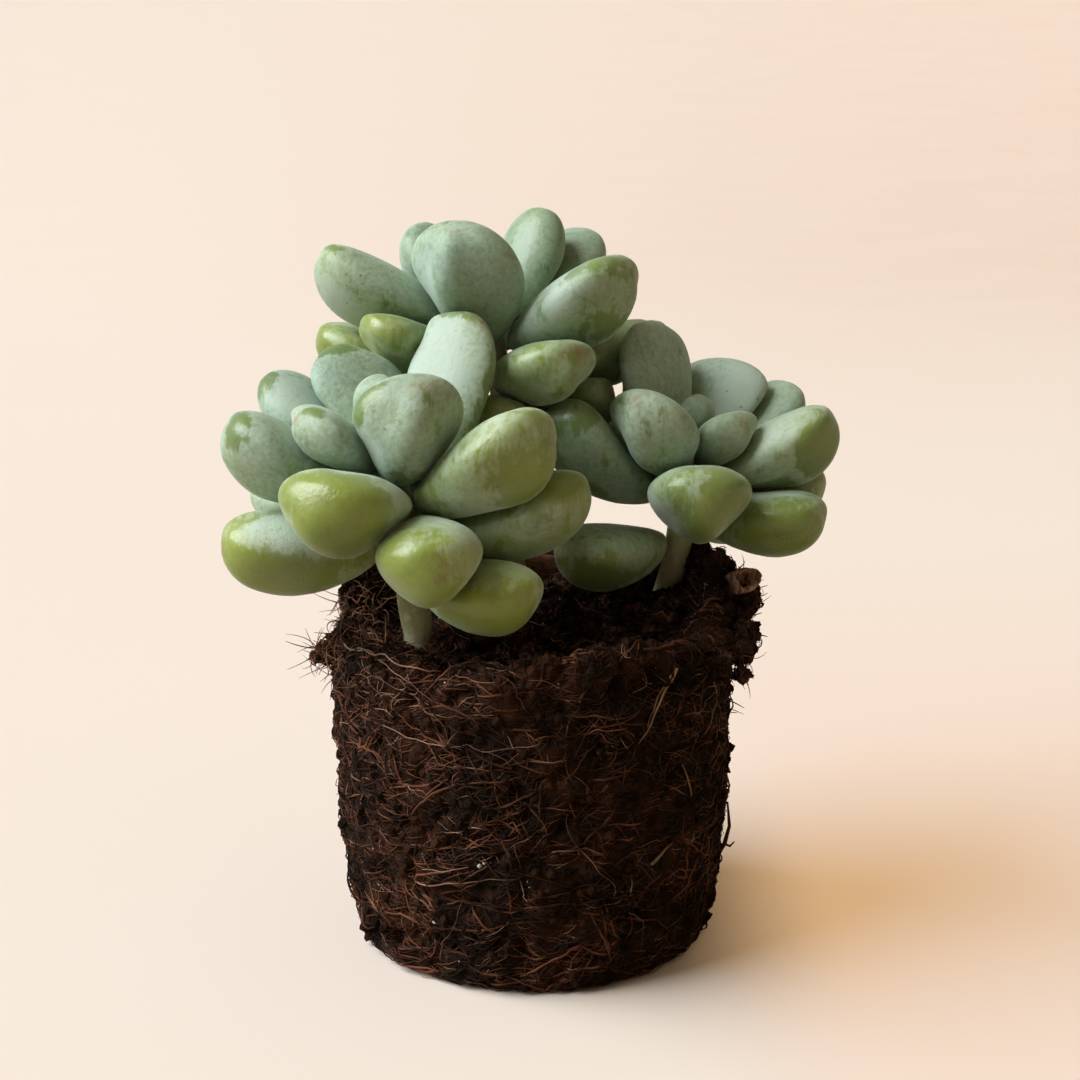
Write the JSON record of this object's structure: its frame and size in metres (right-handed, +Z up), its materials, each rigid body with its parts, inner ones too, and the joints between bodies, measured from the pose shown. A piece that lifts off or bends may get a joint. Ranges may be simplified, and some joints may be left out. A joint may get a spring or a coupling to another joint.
{
  "type": "sedum plant with bare root ball",
  "caption": "Small stonecrop with plump grey-green leaves in rosettes on short stems, standing on the pot-shaped ball of peat and roots it grew in, without its pot.",
  "frame": {"origin": "middle of the root ball's flat underside", "axes": "+Z up, -Y the front, with the two lower rosettes at front left and right and the tall one behind, +X to the right"},
  "size_m": [0.0805, 0.0642, 0.0963],
  "materials": {
    "leaf": "waxy bloom, rubbed greener in places",
    "stem": "matte, smooth",
    "root_ball": "crumbly and fibrous",
    "bark": "rough",
    "dry_stalk": "dry and papery"
  },
  "bodies": {
    "root": {"back_leaf_01": "leaf", "back_leaf_02": "leaf", "back_leaf_03": "leaf", "back_leaf_04": "leaf", "back_leaf_05": "leaf", "back_leaf_06": "leaf", "back_leaf_07": "leaf", "back_leaf_08": "leaf", "back_leaf_09": "leaf", "back_leaf_10": "leaf", "back_leaf_11": "leaf", "back_leaf_12": "leaf", "back_leaf_13": "leaf", "back_leaf_14": "leaf", "back_leaf_15": "leaf", "back_leaf_16": "leaf", "bark_chip": "bark", "dry_stub": "dry_stalk", "left_leaf_01": "leaf", "left_leaf_02": "leaf", "left_leaf_03": "leaf", "left_leaf_04": "leaf", "left_leaf_05": "leaf", "left_leaf_06": "leaf", "left_leaf_07": "leaf", "left_leaf_08": "leaf", "left_leaf_09": "leaf", "left_leaf_10": "leaf", "left_leaf_11": "leaf", "left_leaf_12": "leaf", "left_leaf_13": "leaf", "left_leaf_14": "leaf", "left_leaf_15": "leaf", "left_leaf_16": "leaf", "left_leaf_17": "leaf", "right_leaf_01": "leaf", "right_leaf_02": "leaf", "right_leaf_03": "leaf", "right_leaf_04": "leaf", "right_leaf_05": "leaf", "right_leaf_06": "leaf", "right_leaf_07": "leaf", "right_leaf_08": "leaf", "right_leaf_09": "leaf", "right_leaf_10": "leaf", "right_leaf_11": "leaf", "right_leaf_12": "leaf", "right_leaf_13": "leaf", "right_leaf_14": "leaf", "right_leaf_15": "leaf", "root_ball": "root_ball", "stem_back": "stem", "stem_left": "stem", "stem_right": "stem"}
  },
  "joints": []
}
